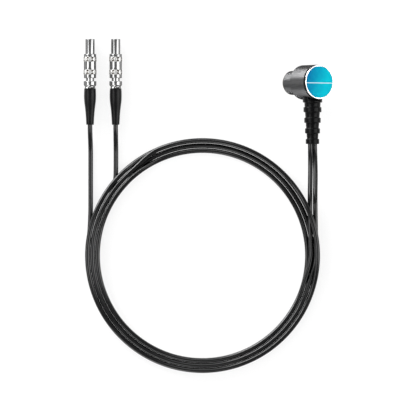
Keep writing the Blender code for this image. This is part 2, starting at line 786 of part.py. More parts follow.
def dropped_route(start: Vector, route: tuple, entry: tuple) -> list:
    """Return the places of a lead that runs towards -Y and drops to the coil's outer wall."""
    across, height = entry
    places = []
    for distance, drop, spread in route:
        places.append(
            Vector(
                (
                    start.x + (across - start.x) * spread,
                    start.y - distance,
                    start.z + (height - start.z) * drop,
                )
            )
        )
    places.append(Vector((across, coil_wall_y(across) + SEAT_GAP, height)))
    return places


def build_head_leads(frame) -> None:
    """Lead both lines from the strain relief down to the coil, side by side."""
    for name, side in (("left", -1), ("right", 1)):
        offset = Vector((side * LEAD_SPACING / 2, -(RELIEF_LENGTH + SEAT_GAP), RELIEF_HEIGHT))
        start = frame.matrix_world @ offset
        places = dropped_route(start, HEAD_LEAD_ROUTE, HEAD_LEAD_ENTRY[name])
        build_tube(f"head_lead_{name}", smooth_route(places, LEAD_POINT_SPACING))


def build_plug_leads() -> None:
    """Lead each line from its plug's boot straight back to the coil."""
    for side, across in PLUG_X.items():
        start = Vector((across, PLUG_TIP_Y - BOOT_BACK - SEAT_GAP, PLUG_HEIGHT))
        places = dropped_route(start, PLUG_LEAD_ROUTE, (across, LEAD_DIAMETER / 2 + LEAD_FLOOR_GAP))
        build_tube(f"plug_lead_{side}", smooth_route(places, LEAD_POINT_SPACING))


def build_coil() -> None:
    """Turn the solid of both leads' turns."""
    inner = COIL_OUTER_RADIUS - COIL_WIDTH
    outline = [
        (inner + COIL_EDGE, 0.0),
        (COIL_OUTER_RADIUS - COIL_EDGE, 0.0),
        (COIL_OUTER_RADIUS, COIL_EDGE),
        (COIL_OUTER_RADIUS, COIL_HEIGHT - COIL_EDGE),
        (COIL_OUTER_RADIUS - COIL_EDGE, COIL_HEIGHT),
        (inner + COIL_EDGE, COIL_HEIGHT),
        (inner, COIL_HEIGHT - COIL_EDGE),
        (inner, COIL_EDGE),
    ]
    ring = turned("lead_coil", outline, ((0.006, 0.006, 0.0065), 0.0, 0.4), None, True, COIL_FACETS)
    ring.location = (*COIL_CENTRE, 0.0)


def build_probe() -> None:
    """Build the whole probe."""
    clear_scene()
    frame = head_frame()
    build_case(frame)
    build_cap_and_label(frame)
    for role, side in (("transmit", 1), ("receive", -1)):
        build_element(frame, role, side)
        build_tuning_coil(frame, role, side)
    build_barrier(frame)
    build_board(frame)
    build_relief(frame)
    build_head_leads(frame)
    build_coil()
    build_plug_leads()
    for side, across in PLUG_X.items():
        build_plug(side, across)
    bpy.context.view_layer.update()


build_probe()
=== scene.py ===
"""Looks of an ultrasonic thickness gauge probe, lying on a white table and seen from above.

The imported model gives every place. Each sub-assembly is a class: the two leads, the head, the plugs
and the studio. Lengths are in metres and +Z is up.
"""

import json
import logging
import math
from dataclasses import dataclass
from enum import Enum

import bpy
from mathutils import Matrix, Vector


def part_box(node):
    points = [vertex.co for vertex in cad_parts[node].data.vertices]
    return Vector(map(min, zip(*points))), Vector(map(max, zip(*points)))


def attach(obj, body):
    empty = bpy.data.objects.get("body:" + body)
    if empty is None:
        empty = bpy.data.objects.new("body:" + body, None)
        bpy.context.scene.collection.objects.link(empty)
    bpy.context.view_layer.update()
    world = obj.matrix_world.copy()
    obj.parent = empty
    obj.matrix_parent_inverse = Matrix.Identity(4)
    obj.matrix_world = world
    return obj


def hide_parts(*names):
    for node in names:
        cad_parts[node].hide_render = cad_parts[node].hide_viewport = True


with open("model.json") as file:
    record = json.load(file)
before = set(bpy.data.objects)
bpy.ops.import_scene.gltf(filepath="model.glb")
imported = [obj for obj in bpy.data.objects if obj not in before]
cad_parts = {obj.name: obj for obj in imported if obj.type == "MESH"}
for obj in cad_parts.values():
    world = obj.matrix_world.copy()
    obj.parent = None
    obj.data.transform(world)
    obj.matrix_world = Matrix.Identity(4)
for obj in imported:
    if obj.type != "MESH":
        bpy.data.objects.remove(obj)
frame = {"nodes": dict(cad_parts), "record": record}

Corners = list[tuple[float, ...]]
Material = bpy.types.Material
Piece = bpy.types.Object
Socket = bpy.types.NodeSocket
Pair = tuple[float, float]
Triple = tuple[float, float, float]

LOG = logging.getLogger("probe_looks")
MM = 0.001
PROBE_BODY = "probe"
TURNING_MAP = "turning"
TURNING_MAP_SPAN = 10.0 * MM
MERGE_DISTANCE = 0.0005 * MM
SMOOTH_ANGLE = math.radians(35.0)
ROUNDING_STEPS = 5
CURVE_SAMPLES = 4
TINY = 1e-9
NOISE_BULK = (0.3, 0.7)


def point_in_mm(x: float, y: float, z: float) -> Vector:
    """Return a point given in millimetres."""
    return Vector((x * MM, y * MM, z * MM))


def smoothed(share: float) -> float:
    """Return a share that starts and ends without a jolt.

    Args:
        share: how far along a stretch, cut off at 0 and 1.

    Returns:
        The eased share.
    """
    share = min(1.0, max(0.0, share))
    return share * share * (3.0 - 2.0 * share)


class Easing(Enum):
    """How a strand shares out a move, so that two neighbours can roll round each other."""

    EARLY = "early"
    LATE = "late"

    def moved(self, share: float) -> float:
        """Return the part of the move that is done.

        Args:
            share: how far along the stretch, from 0 to 1.

        Returns:
            The part that is done, from 0 to 1.
        """
        turn = smoothed(share) * math.pi / 2
        if self is Easing.EARLY:
            return math.sin(turn)
        return 1.0 - math.cos(turn)


class Berth(Enum):
    """A strand's place in the section of the coil: its column from outside, and its layer."""

    UPPER_OUTER = (0, 1)
    UPPER_MIDDLE = (1, 1)
    UPPER_INNER = (2, 1)
    FLOOR_OUTER = (0, 0)
    FLOOR_MIDDLE = (1, 0)
    FLOOR_INNER = (2, 0)


@dataclass(frozen=True)
class Shift:
    """A strand's move into another berth, over a stretch of its travel in degrees."""

    begins: float
    ends: float
    berth: Berth
    easing: Easing


@dataclass(frozen=True)
class Hop:
    """A long low hump of a strand over what crosses under it, in degrees of its travel."""

    begins: float
    top_begins: float
    top_ends: float
    ends: float
    rise: float

    def height(self, travel: float) -> float:
        """Return how far the strand is lifted at one place of its travel."""
        climb = smoothed((travel - self.begins) / (self.top_begins - self.begins))
        fall = smoothed((travel - self.top_ends) / (self.ends - self.top_ends))
        return self.rise * (climb - fall)


@dataclass(frozen=True)
class Lead:
    """One coaxial lead: its way from the strain relief through the coil to its plug.

    In millimetres, joining gives X and height at each joining_y, merging gives radius and height at
    each merging_angle of the coil, and leaving gives X and Y on the table.
    """

    name: str
    head_side: str
    plug_side: str
    length: float
    entry: Pair
    joining: tuple[Pair, ...]
    merging: tuple[Pair, ...]
    first_berth: Berth
    wound_from: float
    wound_to: float
    shifts: tuple[Shift, ...]
    hop: Hop | None
    drift: float
    leaving: tuple[Pair, ...]


@dataclass
class LeadSet:
    """The two leads with their coil, as they lie on the table.

    A route's rows are a distance in millimetres, the share of the drop that is done, and the share
    of the sideways move.
    """

    diameter: float = 2.4 * MM
    strand_pitch: float = 2.5 * MM
    floor_gap: float = 0.02 * MM
    coil_margin: float = 0.05 * MM
    relief_gap: float = 0.3 * MM
    relief_spacing: float = 2.7 * MM
    boot_end: float = 42.8 * MM
    sides: int = 6
    step: float = 1.2 * MM
    turn_step: float = 3.0
    joining_y: tuple[float, ...] = (-49.4, -53.9, -58.4, -62.9, -67.4, -71.4)
    merging_angle: tuple[float, ...] = (0.0, -5.0, -10.0, -15.0)
    leaving_height: float = 1.22
    head_route: tuple[Triple, ...] = (
        (-2.0, 0.0, 0.0),
        (2.5, 0.0, 0.1),
        (7.0, 0.07, 0.4),
        (12.5, 0.28, 0.8),
        (18.0, 0.58, 1.0),
        (23.0, 0.85, 1.0),
        (26.5, 0.96, 1.0),
    )
    plug_route: tuple[Triple, ...] = (
        (-2.0, 0.0, 0.0),
        (2.0, 0.0, 0.0),
        (5.0, 0.2, 0.25),
        (8.5, 0.6, 0.65),
        (12.0, 0.92, 0.95),
        (15.0, 1.0, 1.0),
        (18.0, 1.0, 1.0),
    )

    def __post_init__(self) -> None:
        """Read the coil's place from the frame."""
        low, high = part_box("lead_coil")
        self.centre = Vector(((low.x + high.x) / 2, (low.y + high.y) / 2, 0.0))
        self.outer_radius = (high.x - low.x) / 2

    def berth_place(self, berth: Berth) -> Pair:
        """Return the radius and height of a strand's middle line in a berth."""
        column, layer = berth.value
        radius = self.outer_radius - self.coil_margin - self.diameter / 2 - column * self.strand_pitch
        height = self.floor_gap + self.diameter / 2 + layer * self.strand_pitch
        return radius, height

    def polar(self, angle: float, radius: float, height: float) -> Vector:
        """Return a point of the coil from its angle in degrees, its radius and its height."""
        turn = math.radians(angle)
        return self.centre + Vector((radius * math.cos(turn), radius * math.sin(turn), height))

    def wound_point(self, lead: Lead, travel: float) -> Vector:
        """Return a point of a lead's turns.

        Args:
            lead: the lead.
            travel: how far round it has gone, in degrees, clockwise from the +X side.

        Returns:
            The point on the middle line.
        """
        radius, height = self.berth_place(lead.first_berth)
        for shift in lead.shifts:
            if travel > shift.begins:
                share = (travel - shift.begins) / (shift.ends - shift.begins)
                done = shift.easing.moved(share)
                next_radius, next_height = self.berth_place(shift.berth)
                radius += (next_radius - radius) * done
                height += (next_height - height) * done
        if lead.hop:
            height += lead.hop.height(travel)
        return self.polar(-travel, radius, height)

    def route(self, lead: Lead) -> list[Vector]:
        """Return the places that a lead's middle line goes through, from the relief to the boot."""
        places = self.head_places(lead)
        places += [point_in_mm(x, y, z) for (x, z), y in zip(lead.joining, self.joining_y)]
        for (radius, height), angle in zip(lead.merging, self.merging_angle):
            places.append(self.polar(angle, radius * MM, height * MM))
        steps = round((lead.wound_to - lead.wound_from) / self.turn_step)
        for index in range(steps + 1):
            travel = lead.wound_from + (lead.wound_to - lead.wound_from) * index / steps
            places.append(self.wound_point(lead, travel))
        places += [point_in_mm(x, y, self.leaving_height) for x, y in lead.leaving]
        places += reversed(self.plug_places(lead))
        return places

    def head_places(self, lead: Lead) -> list[Vector]:
        """Return the places from the end of the strain relief down to the coil."""
        side = -1 if lead.head_side == "left" else 1
        aside = side * self.relief_spacing / 2
        start_x = HEAD_AXIS_AT_RELIEF.x + aside * HEAD_ACROSS.x
        start_z = HEAD_AXIS_AT_RELIEF.z + aside * HEAD_ACROSS.z
        start_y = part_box(f"head_lead_{lead.head_side}")[1].y
        across, height = lead.entry
        places = []
        for distance, drop, spread in self.head_route:
            x = start_x + (across - start_x) * spread
            z = start_z + (height - start_z) * drop
            places.append(Vector((x, start_y - distance * MM, z)))
        return places

    def plug_places(self, lead: Lead) -> list[Vector]:
        """Return the places from the end of the boot back towards the coil."""
        low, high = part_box(f"{lead.plug_side}_plug_shell")
        across = (low.x + high.x) / 2
        start = Vector((across, high.y - self.boot_end - self.relief_gap, (low.z + high.z) / 2))
        floor = self.floor_gap + self.diameter / 2
        places = []
        for distance, drop, aside in self.plug_route:
            z = start.z + (floor - start.z) * drop
            places.append(Vector((across + lead.drift * aside, start.y - distance * MM, z)))
        return places

    def build(self, jacket: Material, plugs: dict[str, "Plug"]) -> None:
        """Lay both leads as round cords.

        Args:
            jacket: the leads' finish.
            plugs: the finished plugs, by side.
        """
        cords = {}
        for lead in LEADS:
            places = walked_curve(self.route(lead), self.step)
            cord = cords[lead.name] = lay_cord(lead.name, places, self.diameter, self.sides, jacket)
            length = sum((b - a).length for a, b in zip(places, places[1:]))
            LOG.info("%s: %.3f m", lead.name, length)
            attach(cord, PROBE_BODY)
            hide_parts(f"head_lead_{lead.head_side}", f"plug_lead_{lead.plug_side}")
            plugs[lead.plug_side].piece_names()
        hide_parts("lead_coil")


def walked_curve(places: list[Vector], spacing: float) -> list[Vector]:
    """Return points at even spacing along one smooth curve through the places.

    Args:
        places: what the curve goes through.
        spacing: the distance between two points.

    Returns:
        The points, with the first and last place among them.
    """
    padded = [places[0] * 2 - places[1], *places, places[-1] * 2 - places[-2]]
    fine: list[Vector] = []
    for before, start, end, after in zip(padded, padded[1:], padded[2:], padded[3:]):
        samples = max(CURVE_SAMPLES, math.ceil((end - start).length / spacing * CURVE_SAMPLES))
        ease_in = (end - before) / max((end - start).length + (start - before).length, TINY)
        ease_out = (after - start) / max((end - start).length + (after - end).length, TINY)
        reach = (end - start).length
        for index in range(samples):
            t = index / samples
            h1 = 2 * t**3 - 3 * t**2 + 1
            h2 = t**3 - 2 * t**2 + t
            h3 = -2 * t**3 + 3 * t**2
            h4 = t**3 - t**2
            fine.append(start * h1 + ease_in * reach * h2 + end * h3 + ease_out * reach * h4)
    fine.append(places[-1])
    lengths = [0.0]
    for first, second in zip(fine, fine[1:]):
        lengths.append(lengths[-1] + (second - first).length)
    count = round(lengths[-1] / spacing)
    points = []
    cursor = 0
    for index in range(count + 1):
        target = lengths[-1] * index / count
        while cursor < len(lengths) - 2 and lengths[cursor + 1] < target:
            cursor += 1
        share = (target - lengths[cursor]) / (lengths[cursor + 1] - lengths[cursor])
        points.append(fine[cursor].lerp(fine[cursor + 1], min(1.0, share)))
    return points


def lay_cord(name: str, points: list[Vector], diameter: float, sides: int, material: Material) -> Piece:
    """Lay one round cord along its points.

    Args:
        name: the piece's name.
        points: its middle line.
        diameter: its thickness.
        sides: the bevel resolution of the round section.
        material: its finish.

    Returns:
        The cord, as a curve with one open spline.
    """
    curve = bpy.data.curves.new(name, "CURVE")
    curve.dimensions = "3D"
    curve.bevel_depth = diameter / 2
    curve.bevel_resolution = sides
    curve.use_fill_caps = True
    spline = curve.splines.new("POLY")
    spline.points.add(len(points) - 1)
    for target, point in zip(spline.points, points):
        target.co = (*point, 1.0)
    spline.use_smooth = True
    curve.materials.append(material)
    cord = bpy.data.objects.new(name, curve)
    bpy.context.scene.collection.objects.link(cord)
    return cord


def head_matrix() -> Matrix:
    """Return the head's own frame, with local Z along its axis and local zero at the nose face."""
    mount = next(m for m in frame["record"]["mounts"] if m["name"] == "sensing_face")
    away = Vector(mount["axis"])
    tilt = math.atan2(-away.x, -away.z)
    place = Vector(mount["pos_m"]) - Vector((0.0, SENSING_POINT_OFFSET, 0.0))
    return Matrix.Translation(place) @ Matrix.Rotation(tilt, 4, "Y")


SENSING_POINT_OFFSET = 2.5 * MM
RELIEF_HEIGHT = 17.7 * MM
HEAD = head_matrix()
HEAD_AXIS_AT_RELIEF = HEAD @ Vector((0.0, 0.0, RELIEF_HEIGHT))
HEAD_ACROSS = HEAD.to_3x3() @ Vector((1.0, 0.0, 0.0))

LEADS = (
    Lead(
        name="lead_to_left_plug",
        head_side="right",
        plug_side="left",
        length=0.99,
        entry=(3.82 * MM, 3.15 * MM),
        joining=((3.85, 3.14), (3.89, 3.22), (3.95, 3.47), (4.03, 3.72), (4.11, 3.78), (4.17, 3.77)),
        merging=((56.75, 3.75), (56.28, 3.73), (55.45, 3.72), (54.98, 3.72)),
        first_berth=Berth.UPPER_MIDDLE,
        wound_from=20.0,
        wound_to=905.0,
        shifts=(
            Shift(224.0, 248.0, Berth.UPPER_OUTER, Easing.LATE),
            Shift(584.0, 608.0, Berth.FLOOR_OUTER, Easing.EARLY),
        ),
        hop=Hop(316.0, 337.0, 360.0, 384.0, 2.55 * MM),
        drift=0.27 * MM,
        leaving=(
            (-109.10, -65.5),
            (-108.70, -61.0),
            (-108.45, -56.0),
            (-108.35, -51.0),
            (-108.33, -45.0),
            (-108.33, -36.0),
        ),
    ),
    Lead(
        name="lead_to_right_plug",
        head_side="left",
        plug_side="right",
        length=0.99,
        entry=(1.22 * MM, 3.9 * MM),
        joining=((1.22, 3.90), (1.23, 3.88), (1.31, 3.82), (1.45, 3.78), (1.62, 3.76), (1.73, 3.75)),
        merging=((54.25, 3.74), (53.65, 3.73), (52.93, 3.72), (52.48, 3.72)),
        first_berth=Berth.UPPER_INNER,
        wound_from=20.0,
        wound_to=928.0,
        shifts=(
            Shift(224.0, 248.0, Berth.FLOOR_INNER, Easing.LATE),
            Shift(584.0, 608.0, Berth.FLOOR_MIDDLE, Easing.EARLY),
        ),
        hop=None,
        drift=0.1 * MM,
        leaving=((-97.65, -43.5), (-96.45, -40.1), (-95.85, -36.3), (-95.72, -32.3)),
    ),
)


class NodeDesk:
    """A node tree while it is being put together."""

    def __init__(self, tree: bpy.types.NodeTree) -> None:
        """Take up a tree."""
        self.tree = tree
        self.nodes = tree.nodes

    def add(self, kind: str, **inputs: object) -> bpy.types.Node:
        """Add a node.

        Args:
            kind: the node's type, without its usual beginning.
            inputs: values or sockets by input name, with underscores for spaces, or by I and the
                input's number; names in small letters are the node's own settings.

        Returns:
            The node.
        """
        node = self.nodes.new(f"ShaderNode{kind}")
        for key, value in inputs.items():
            if key[0].islower():
                setattr(node, key, value)
                continue
            target = node.inputs[int(key[1:])] if key[1:].isdigit() else node.inputs[key.replace("_", " ")]
            if isinstance(value, Socket):
                self.link(value, target)
            else:
                target.default_value = value
        return node

    def link(self, source: Socket, target: Socket) -> None:
        """Join an output to an input."""
        self.tree.links.new(source, target)

    def math(self, operation: str, first: object, second: object = 0.0) -> Socket:
        """Return the result of one sum."""
        return self.add("Math", operation=operation, I0=first, I1=second).outputs[0]

    def step(self, cosine: Socket, from_angle: float, to_angle: float) -> Socket:
        """Return a soft step from 0 to 1 as an angle, known by its cosine, closes in degrees."""
        return self.add(
            "MapRange",
            interpolation_type="SMOOTHSTEP",
            Value=cosine,
            From_Min=math.cos(math.radians(from_angle)),
            From_Max=math.cos(math.radians(to_angle)),
        ).outputs["Result"]


class Bench(NodeDesk):
    """A surface material while it is being put together."""

    def __init__(self, name: str, colour: Triple, metallic: float, roughness: float) -> None:
        """Start the material with its even values."""
        self.material = bpy.data.materials.new(name)
        self.material.use_nodes = True
        super().__init__(self.material.node_tree)
        self.shader = self.nodes["Principled BSDF"]
        self.set("Base Color", (*colour, 1.0))
        self.set("Metallic", metallic)
        self.set("Roughness", roughness)

    def set(self, socket: str, value: float | tuple) -> None:
        """Set one of the shader's own sockets."""
        self.shader.inputs[socket].default_value = value

    def feed(self, socket: str, source: Socket) -> None:
        """Join an output to one of the shader's own sockets."""
        self.link(source, self.shader.inputs[socket])

    def place(self, frame_of: Matrix | None = None) -> Socket:
        """Return the place on the piece, in the frame given, or in the whole probe's."""
        point = self.add("TexCoord").outputs["Object"]
        if frame_of is None:
            return point
        back = frame_of.inverted()
        return self.add(
            "Mapping", Vector=point, Location=back.translation, Rotation=back.to_euler()
        ).outputs["Vector"]

    def noise(self, point: Socket, size: float, detail: float = 3.0) -> Socket:
        """Return soft noise from 0 to 1, with spots of about the size given, in metres."""
        return self.add("TexNoise", Vector=point, Scale=1.0 / size, Detail=detail).outputs["Fac"]

    def between(self, value: Socket, low: float, high: float, start: float = 0, end: float = 1) -> Socket:
        """Return the value, moved from the range start to end into the range low to high."""
        return self.add(
            "MapRange", Value=value, From_Min=start, From_Max=end, To_Min=low, To_Max=high
        ).outputs["Result"]

    def blend(self, share: Socket, first: Triple, second: Triple) -> Socket:
        """Return a colour between two, by a share from 0 to 1."""
        ramp = self.add("ValToRGB", Fac=share)
        ramp.color_ramp.elements[0].color = (*first, 1.0)
        ramp.color_ramp.elements[1].color = (*second, 1.0)
        return ramp.outputs["Color"]

    def bump(self, height: Socket, depth: float) -> None:
        """Let a height raise the surface by up to the depth, in metres."""
        node = self.add("Bump", Height=height, Strength=1.0, Distance=depth)
        self.feed("Normal", node.outputs["Normal"])


@dataclass(frozen=True)
class TurnedMetal:
    """Metal straight from the lathe: fine rings round the axis, and a little mottling."""

    name: str
    colour: Triple
    roughness: float
    spread: float = 0.0
    ring_size: float = 0.18 * MM
    ring_depth: float = 0.003 * MM
    cloud_size: float = 2.5 * MM
    mottle: float = 0.08
    cloud_wear: float = 0.04
    ring_wear: float = 0.03
    edge_tint: float = 1.0

    def make(self, axis: Matrix) -> Material:
        """Return the material for pieces turned round the local Z of a frame."""
        bench = Bench(self.name, self.colour, 1.0, self.roughness)
        point = bench.place(axis)
        parts = bench.add("SeparateXYZ", Vector=point)
        across = bench.add("CombineXYZ", X=parts.outputs["X"], Y=parts.outputs["Y"])
        radius = bench.add("VectorMath", operation="LENGTH", I0=across.outputs["Vector"]).outputs["Value"]
        profile = bench.add("CombineXYZ", X=radius, Z=parts.outputs["Z"]).outputs["Vector"]
        rings = bench.noise(profile, self.ring_size, 2.0)
        clouds = bench.noise(point, self.cloud_size, 4.0)
        low = tuple(max(0.0, c * (1.0 - self.mottle)) for c in self.colour)
        high = tuple(min(1.0, c * (1.0 + self.mottle)) for c in self.colour)
        bench.feed("Base Color", bench.blend(clouds, low, high))
        cloud_wear = bench.between(clouds, -self.cloud_wear, self.cloud_wear)
        ring_wear = bench.between(rings, -self.ring_wear, self.ring_wear)
        worn = bench.math("ADD", cloud_wear, ring_wear)
        bench.feed("Roughness", bench.math("ADD", worn, self.roughness))
        bench.bump(rings, self.ring_depth)
        bench.set("Anisotropic", self.spread)
        bench.set("Specular Tint", (*(self.edge_tint,) * 3, 1.0))
        if self.spread:
            tangent = bench.add("Tangent", direction_type="UV_MAP", uv_map=TURNING_MAP)
            bench.feed("Tangent", tangent.outputs["Tangent"])
        return bench.material


@dataclass(frozen=True)
class SoftBlack:
    """Black rubber or cable jacket: satin, with fine moulded grain and faint handling marks."""

    name: str
    colour: Triple
    roughness: float
    gloss: float = 0.5
    grain_size: float = 0.12 * MM
    grain_depth: float = 0.004 * MM
    mark_size: float = 6.0 * MM
    paler: float = 1.35
    darker: float = 0.75
    smoother: float = 0.05
    rougher: float = 0.06

    def make(self) -> Material:
        """Return the material."""
        bench = Bench(self.name, self.colour, 0.0, self.roughness)
        point = bench.place()
        grain = bench.noise(point, self.grain_size, 3.0)
        marks = bench.noise(point, self.mark_size, 5.0)
        darker, paler = (tuple(c * share for c in self.colour) for share in (self.darker, self.paler))
        bench.feed("Base Color", bench.blend(marks, darker, paler))
        low, high = self.roughness - self.smoother, self.roughness + self.rougher
        bench.feed("Roughness", bench.between(marks, low, high, *NOISE_BULK))
        bench.set("Specular IOR Level", self.gloss)
        bench.bump(grain, self.grain_depth)
        return bench.material


@dataclass(frozen=True)
class LabelPrint:
    """The round label: teal print that runs from deep blue to turquoise, with a white divider line."""

    name: str = "label_print"
    deep: Triple = (0.0, 0.175, 0.37)
    bright: Triple = (0.0, 0.48, 0.6)
    line: Triple = (0.6, 0.78, 0.84)
    line_offset: float = -0.5 * MM
    line_width: float = 0.42 * MM
    line_blur: float = 0.05 * MM
    reach: float = 7.6 * MM
    bright_share: float = 0.55
    slope: float = -0.35
    cloud_size: float = 2.2 * MM
    cloud_range: Pair = (0.25, 0.75)
    mottle: float = 0.16
    grain_size: float = 0.25 * MM
    grain_depth: float = 0.002 * MM
    roughness: float = 0.45
    gloss: float = 0.03

    def make(self, head: Matrix) -> Material:
        """Return the material for a label in the head's frame."""
        bench = Bench(self.name, self.bright, 0.0, self.roughness)
        point = bench.place(head)
        parts = bench.add("SeparateXYZ", Vector=point)
        sideways = bench.math("MULTIPLY", parts.outputs["Y"], self.slope)
        slant = bench.math("ADD", parts.outputs["X"], sideways)
        cloud = bench.noise(point, self.cloud_size, 4.0)
        share = bench.between(slant, 0.0, 1.0, -self.reach, self.reach * self.bright_share)
        patches = bench.between(cloud, -self.mottle, self.mottle, *self.cloud_range)
        mottled = bench.math("ADD", share, patches)
        print_colour = bench.blend(mottled, self.deep, self.bright)
        away = bench.math("ABSOLUTE", bench.math("SUBTRACT", parts.outputs["Y"], self.line_offset))
        half = self.line_width / 2
        on_line = bench.between(away, 1.0, 0.0, half - self.line_blur, half + self.line_blur)
        colour = bench.add("Mix", data_type="RGBA", I0=on_line)
        bench.link(print_colour, colour.inputs["A"])
        colour.inputs["B"].default_value = (*self.line, 1.0)
        bench.feed("Base Color", colour.outputs["Result"])
        bench.set("Specular IOR Level", self.gloss)
        bench.bump(bench.noise(point, self.grain_size, 2.0), self.grain_depth)
        return bench.material


@dataclass(frozen=True)
class Mottled:
    """A plain material with two tones in soft spots, and a fine grain."""

    name: str
    dark: Triple
    light: Triple
    roughness: float
    metallic: float = 0.0
    spot_size: float = 0.8 * MM
    grain_size: float = 0.1 * MM
    grain_depth: float = 0.003 * MM
    smoother: float = 0.04
    rougher: float = 0.06

    def make(self) -> Material:
        """Return the material."""
        bench = Bench(self.name, self.light, self.metallic, self.roughness)
        point = bench.place()
        spots = bench.noise(point, self.spot_size, 4.0)
        share = bench.between(spots, 0.0, 1.0, *NOISE_BULK)
        bench.feed("Base Color", bench.blend(share, self.dark, self.light))
        low, high = self.roughness - self.smoother, self.roughness + self.rougher
        bench.feed("Roughness", bench.between(spots, low, high))
        bench.bump(bench.noise(point, self.grain_size, 2.0), self.grain_depth)
        return bench.material


def deselect_all() -> None:
    """Leave nothing selected."""
    bpy.ops.object.select_all(action="DESELECT")


def pick(piece: Piece) -> None:
    """Select one piece alone, and make it the active one."""
    deselect_all()
    piece.select_set(True)
    bpy.context.view_layer.objects.active = piece


def rounded(outline: Corners, closed: bool = False) -> list[Vector]:
    """Return an outline with its corners rounded.

    Args:
        outline: corners as radius, height and, where it is rounded, the rounding radius.
        closed: whether the last corner joins the first.

    Returns:
        The points, in the XZ plane.
    """
    corners = [Vector((place[0], 0.0, place[1])) for place in outline]
    points: list[Vector] = []
    for index, (corner, place) in enumerate(zip(corners, outline)):
        inner = closed or 0 < index < len(corners) - 1
        if len(place) < 3 or not inner:
            points.append(corner)
            continue
        before = (corners[index - 1] - corner).normalized()
        after = (corners[(index + 1) % len(corners)] - corner).normalized()
        half = before.angle(after) / 2
        middle = corner + (before + after).normalized() * (place[2] / math.sin(half))
        start = corner + before * (place[2] / math.tan(half)) - middle
        end = corner + after * (place[2] / math.tan(half)) - middle
        for step in range(ROUNDING_STEPS + 1):
            points.append(middle + start.slerp(end, step / ROUNDING_STEPS) * place[2])
    if closed:
        points.append(points[0].copy())
    return points


def turned(name: str, outline: list[Vector], steps: int, place: Matrix) -> Piece:
    """Draw an outline by extruding one vertex, and spin it round local Z.

    Args:
        name: the piece's name.
        outline: points in the XZ plane, from one end of the outline to the other.
        steps: facets in the full turn.
        place: where the piece's own frame lies.

    Returns:
        The finished piece, with its place in its mesh and a map of the turning direction.
    """
    deselect_all()
    bpy.ops.mesh.primitive_plane_add(size=MM, location=(0.0, 0.0, 0.0))
    piece = bpy.context.object
    piece.name = name
    piece.data.name = name
    bpy.ops.object.mode_set(mode="EDIT")
    bpy.ops.mesh.select_all(action="SELECT")
    bpy.ops.mesh.merge(type="CENTER")
    bpy.ops.transform.translate(value=outline[0])
    for here, there in zip(outline, outline[1:]):
        bpy.ops.mesh.extrude_region_move(TRANSFORM_OT_translate={"value": there - here})
    bpy.ops.mesh.select_all(action="SELECT")
    bpy.ops.mesh.spin(
        steps=steps, angle=2 * math.pi, center=(0.0, 0.0, 0.0), axis=(0.0, 0.0, 1.0), use_auto_merge=True
    )
    bpy.ops.mesh.select_all(action="SELECT")
    bpy.ops.mesh.remove_doubles(threshold=MERGE_DISTANCE)
    bpy.ops.mesh.normals_make_consistent(inside=False)
    bpy.ops.object.mode_set(mode="OBJECT")
    lay_turning_map(piece)
    settle(piece, place)
    return piece


def lay_turning_map(piece: Piece) -> None:
    """Give a turned piece a map whose U runs along its outline and whose V runs round it."""
    mesh = piece.data
    layer = mesh.uv_layers.new(name=TURNING_MAP)
    for face in mesh.polygons:
        middle = math.atan2(face.center.y, face.center.x)
        for loop in face.loop_indices:
            place = mesh.vertices[mesh.loops[loop].vertex_index].co
            angle = math.atan2(place.y, place.x)
            turns = (angle - middle + math.pi) // (2 * math.pi)
            around = (angle - turns * 2 * math.pi) / (2 * math.pi)
            layer.data[loop].uv = ((place.z - place.to_2d().length) / TURNING_MAP_SPAN, around)


def settle(piece: Piece, place: Matrix) -> None:
    """Put a piece in its place, move the place into its mesh and shade it."""
    pick(piece)
    piece.matrix_world = place
    bpy.ops.object.transform_apply(location=True, rotation=True, scale=True)
    bpy.ops.object.shade_smooth_by_angle(angle=SMOOTH_ANGLE)


def cut_away(piece: Piece, tool: Piece) -> None:
    """Cut a tool from a piece for good, and remove the tool."""
    step = piece.modifiers.new("Cut", "BOOLEAN")
    step.operation = "DIFFERENCE"
    step.solver = "EXACT"
    step.object = tool
    pick(piece)
    bpy.ops.object.modifier_apply(modifier=step.name)
    bpy.data.objects.remove(tool)


def deliver(piece: Piece, material: Material, body: str, slot: str, *nodes: str) -> None:
    """Dress a piece, hang it on the body that it moves with, and hide the CAD nodes that it replaces.

    Args:
        piece: the finished piece.
        material: its finish.
        body: the body that it moves with.
        slot: the record's material slot; not used.
        nodes: the CAD nodes that it replaces.
    """
    piece.data.materials.clear()
    piece.data.materials.append(material)
    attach(piece, body)
    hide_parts(*nodes)
    LOG.info("%s: %d faces, rides on %s", piece.name, len(piece.data.polygons), body)


def dress_node(name: str, material: Material) -> None:
    """Give a kept CAD node its finish."""
    node = frame["nodes"][name]
    node.data.materials.clear()
    node.data.materials.append(material)
    LOG.info("%s keeps its mesh", name)


